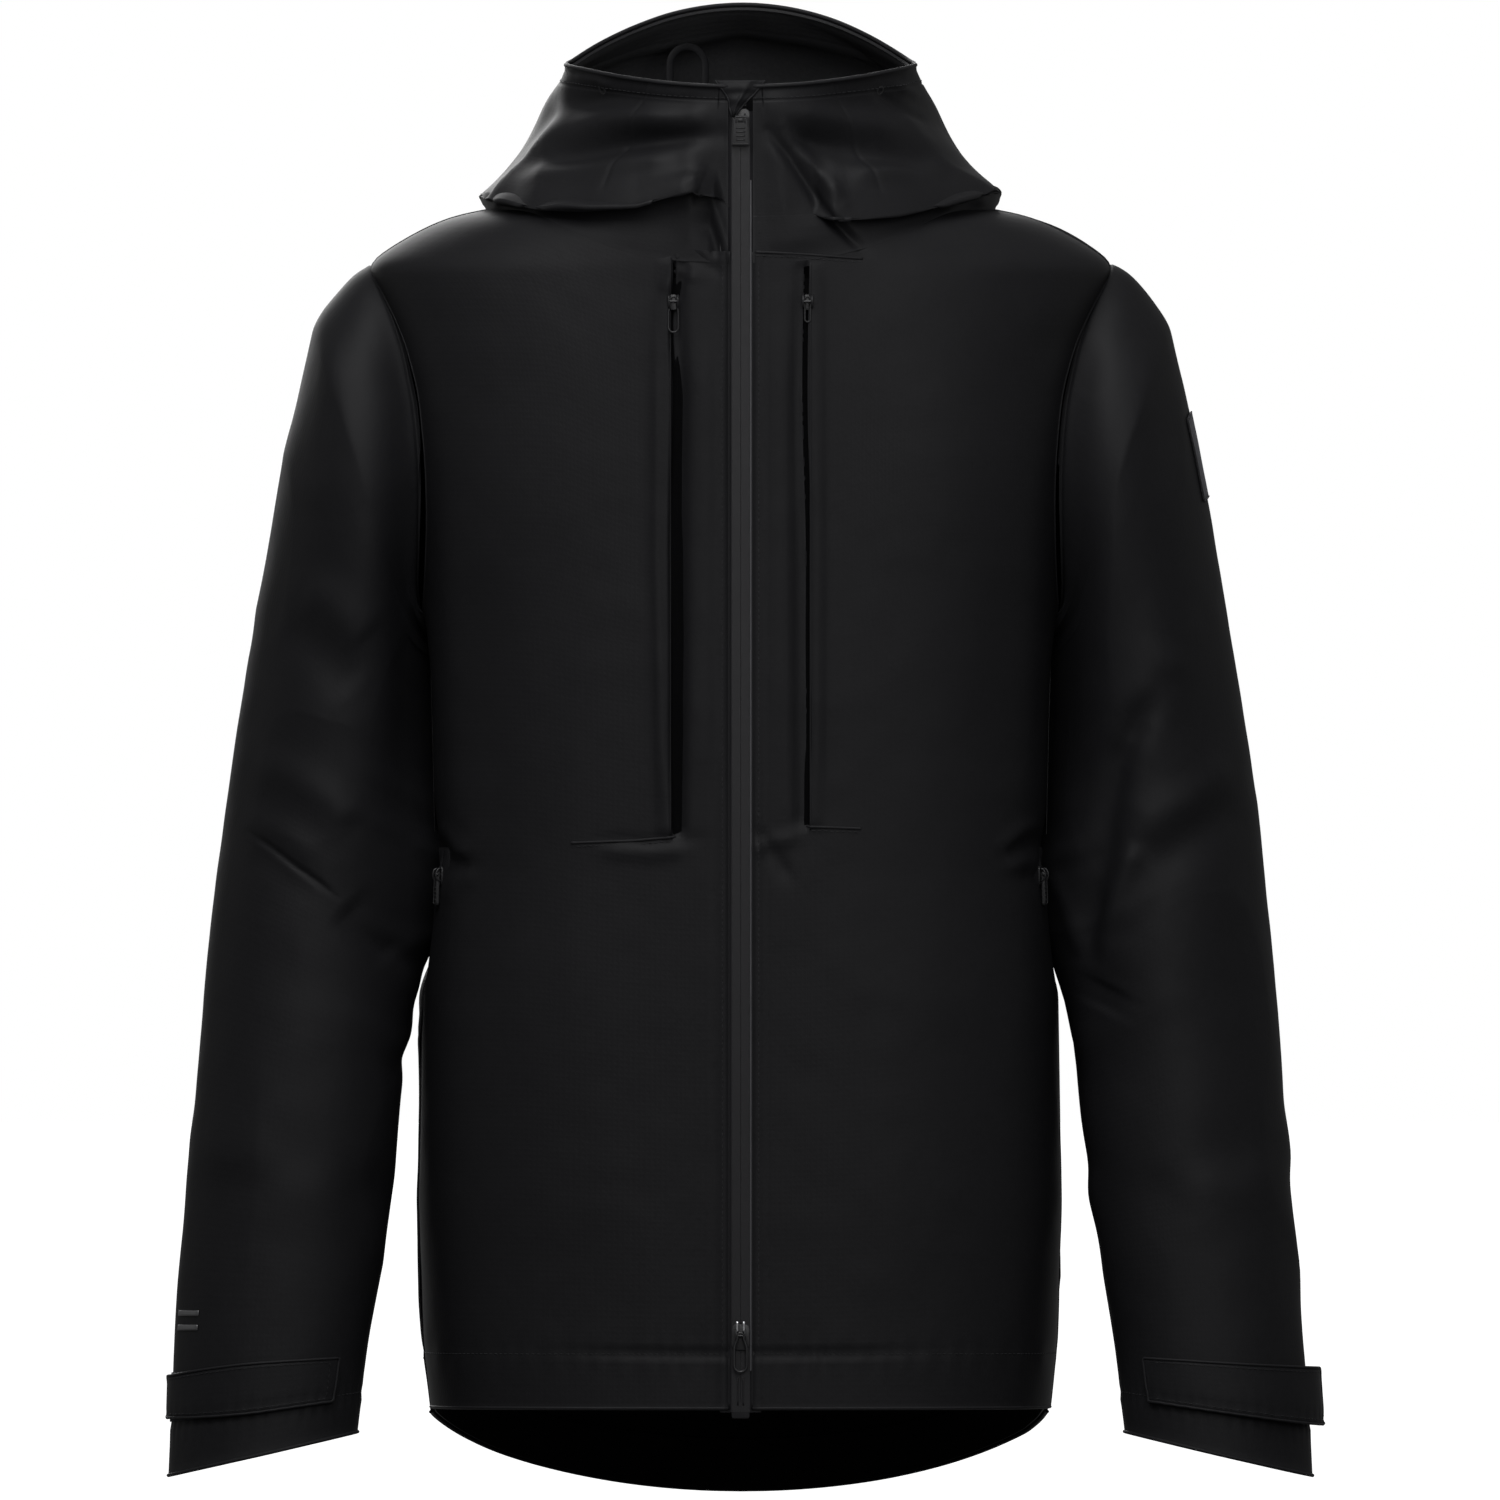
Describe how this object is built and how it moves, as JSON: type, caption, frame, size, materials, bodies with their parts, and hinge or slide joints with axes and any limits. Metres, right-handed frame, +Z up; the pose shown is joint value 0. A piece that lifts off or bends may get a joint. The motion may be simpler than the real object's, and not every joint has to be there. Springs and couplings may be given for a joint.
{
  "type": "hardshell jacket",
  "caption": "Black hooded hardshell jacket with two-way main zip, vertical chest and side hand pockets, adjustable cuffs and a drop tail hem.",
  "frame": {"origin": "the point where a hook bears inside the hang loop, at the back of the neck", "axes": "+Z up along the jacket, +X towards the wearer's left, -Y out of the front"},
  "size_m": [0.6782, 0.2918, 0.867],
  "materials": {
    "shell_cloth": "matte plain weave, black",
    "lining_cloth": "matte fine knit, black",
    "coated_tape": "satin polyurethane film, charcoal",
    "zip_plastic": "satin",
    "slider_metal": "satin, worn at the edges",
    "pull_rubber": "matte",
    "hook_and_loop": "fine pile, black",
    "webbing": "ribbed tape, black",
    "transfer_print": "thin reflective film, grey"
  },
  "bodies": {
    "jacket_body": {"front_panel_left": "shell_cloth", "front_panel_right": "shell_cloth", "back_panel": "shell_cloth", "hem_facing_left": "shell_cloth", "hem_facing_right": "shell_cloth", "hem_facing_back": "shell_cloth", "side_seam_tape_left": "lining_cloth", "side_seam_tape_right": "lining_cloth", "storm_flap": "lining_cloth", "main_zip_tape_left": "coated_tape", "main_zip_tape_right": "coated_tape", "main_zip_coil_left": "zip_plastic", "main_zip_coil_right": "zip_plastic", "main_zip_stops": "zip_plastic", "main_zip_box": "zip_plastic", "zip_garage": "shell_cloth", "chest_zip_left": "zip_plastic", "chest_zip_right": "zip_plastic", "chest_flap_left": "shell_cloth", "chest_flap_right": "shell_cloth", "chest_pocket_bag_left": "lining_cloth", "chest_pocket_bag_right": "lining_cloth", "hand_zip_left": "zip_plastic", "hand_zip_right": "zip_plastic", "hand_pocket_bag_left": "lining_cloth", "hand_pocket_bag_right": "lining_cloth", "collar_front_left": "shell_cloth", "collar_front_right": "shell_cloth", "chin_guard": "lining_cloth", "inner_collar": "lining_cloth", "hang_loop": "webbing", "neck_label": "lining_cloth", "hood_eyelets": "slider_metal"},
    "top_slider": {"main_top_slider": "slider_metal"},
    "top_pull": {"main_top_pull": "pull_rubber"},
    "bottom_slider": {"main_bottom_slider": "slider_metal"},
    "bottom_pull": {"main_bottom_pull": "pull_rubber"},
    "chest_slide_left": {"chest_slider_left": "slider_metal"},
    "chest_tag_left": {"chest_pull_left": "pull_rubber"},
    "hand_slide_left": {"hand_slider_left": "slider_metal"},
    "hand_tag_left": {"hand_pull_left": "pull_rubber"},
    "arm_left": {"sleeve_left": "shell_cloth", "cuff_facing_left": "shell_cloth", "loop_patch_left": "hook_and_loop", "sleeve_badge": "webbing"},
    "tab_left": {"cuff_tab_left": "shell_cloth", "hook_patch_left": "hook_and_loop"},
    "chest_slide_right": {"chest_slider_right": "slider_metal"},
    "chest_tag_right": {"chest_pull_right": "pull_rubber"},
    "hand_slide_right": {"hand_slider_right": "slider_metal"},
    "hand_tag_right": {"hand_pull_right": "pull_rubber"},
    "arm_right": {"sleeve_right": "shell_cloth", "cuff_facing_right": "shell_cloth", "loop_patch_right": "hook_and_loop", "sleeve_mark": "transfer_print"},
    "tab_right": {"cuff_tab_right": "shell_cloth", "hook_patch_right": "hook_and_loop"},
    "hood": {"hood_side_left": "shell_cloth", "hood_side_right": "shell_cloth", "hood_centre": "shell_cloth", "hood_brim": "lining_cloth"}
  },
  "joints": [
    {"name": "top_slider_slide", "type": "slide", "parent": "jacket_body", "child": "top_slider", "axis": [0, 0.0346, 0.9994], "range_m": [-0.4, 0]},
    {"name": "top_pull_swing", "type": "hinge", "parent": "top_slider", "child": "top_pull", "pos_m": [0.031, -0.18596, -0.04214], "axis": [-1, 0, 0], "range_deg": [0, 150]},
    {"name": "bottom_slider_slide", "type": "slide", "parent": "jacket_body", "child": "bottom_slider", "axis": [0, 0.0346, 0.9994], "range_m": [0, 0.25]},
    {"name": "bottom_pull_swing", "type": "hinge", "parent": "bottom_slider", "child": "bottom_pull", "pos_m": [0.031, -0.21043, -0.74814], "axis": [-1, 0, 0], "range_deg": [0, 150]},
    {"name": "chest_slide_left_slide", "type": "slide", "parent": "jacket_body", "child": "chest_slide_left", "axis": [0, 0.0346, 0.9994], "range_m": [-0.3, 0]},
    {"name": "chest_tag_left_swing", "type": "hinge", "parent": "chest_slide_left", "child": "chest_tag_left", "pos_m": [0.07, -0.18697, -0.14635], "axis": [-1, 0, 0], "range_deg": [0, 150]},
    {"name": "hand_slide_left_slide", "type": "slide", "parent": "jacket_body", "child": "hand_slide_left", "axis": [-0.0265, 0.0097, 0.9996], "range_m": [-0.205, 0]},
    {"name": "hand_tag_left_swing", "type": "hinge", "parent": "hand_slide_left", "child": "hand_tag_left", "pos_m": [0.2074, -0.13108, -0.48048], "axis": [-0.342, -0.9397, 0], "range_deg": [0, 150]},
    {"name": "arm_left_raise", "type": "hinge", "parent": "jacket_body", "child": "arm_left", "pos_m": [0.25, -0.0655, -0.1275], "axis": [0, -1, 0], "range_deg": [0, 35]},
    {"name": "tab_left_open", "type": "hinge", "parent": "arm_left", "child": "tab_left", "pos_m": [0.26564, -0.148, -0.7738], "axis": [0.0999, -0.1133, -0.9885], "range_deg": [0, 75]},
    {"name": "chest_slide_right_slide", "type": "slide", "parent": "jacket_body", "child": "chest_slide_right", "axis": [0, 0.0346, 0.9994], "range_m": [-0.3, 0]},
    {"name": "chest_tag_right_swing", "type": "hinge", "parent": "chest_slide_right", "child": "chest_tag_right", "pos_m": [-0.008, -0.18697, -0.14635], "axis": [-1, 0, 0], "range_deg": [0, 150]},
    {"name": "hand_slide_right_slide", "type": "slide", "parent": "jacket_body", "child": "hand_slide_right", "axis": [0.0265, 0.0097, 0.9996], "range_m": [-0.205, 0]},
    {"name": "hand_tag_right_swing", "type": "hinge", "parent": "hand_slide_right", "child": "hand_tag_right", "pos_m": [-0.1454, -0.13108, -0.48048], "axis": [-0.342, 0.9397, 0], "range_deg": [0, 150]},
    {"name": "arm_right_raise", "type": "hinge", "parent": "jacket_body", "child": "arm_right", "pos_m": [-0.188, -0.0655, -0.1275], "axis": [0, 1, 0], "range_deg": [0, 35]},
    {"name": "tab_right_open", "type": "hinge", "parent": "arm_right", "child": "tab_right", "pos_m": [-0.20364, -0.148, -0.7738], "axis": [0.0999, 0.1133, 0.9885], "range_deg": [0, 75]},
    {"name": "hood_tilt", "type": "hinge", "parent": "jacket_body", "child": "hood", "pos_m": [0.031, 0.0225, -0.0855], "axis": [-1, 0, 0], "range_deg": [0, 20]}
  ]
}
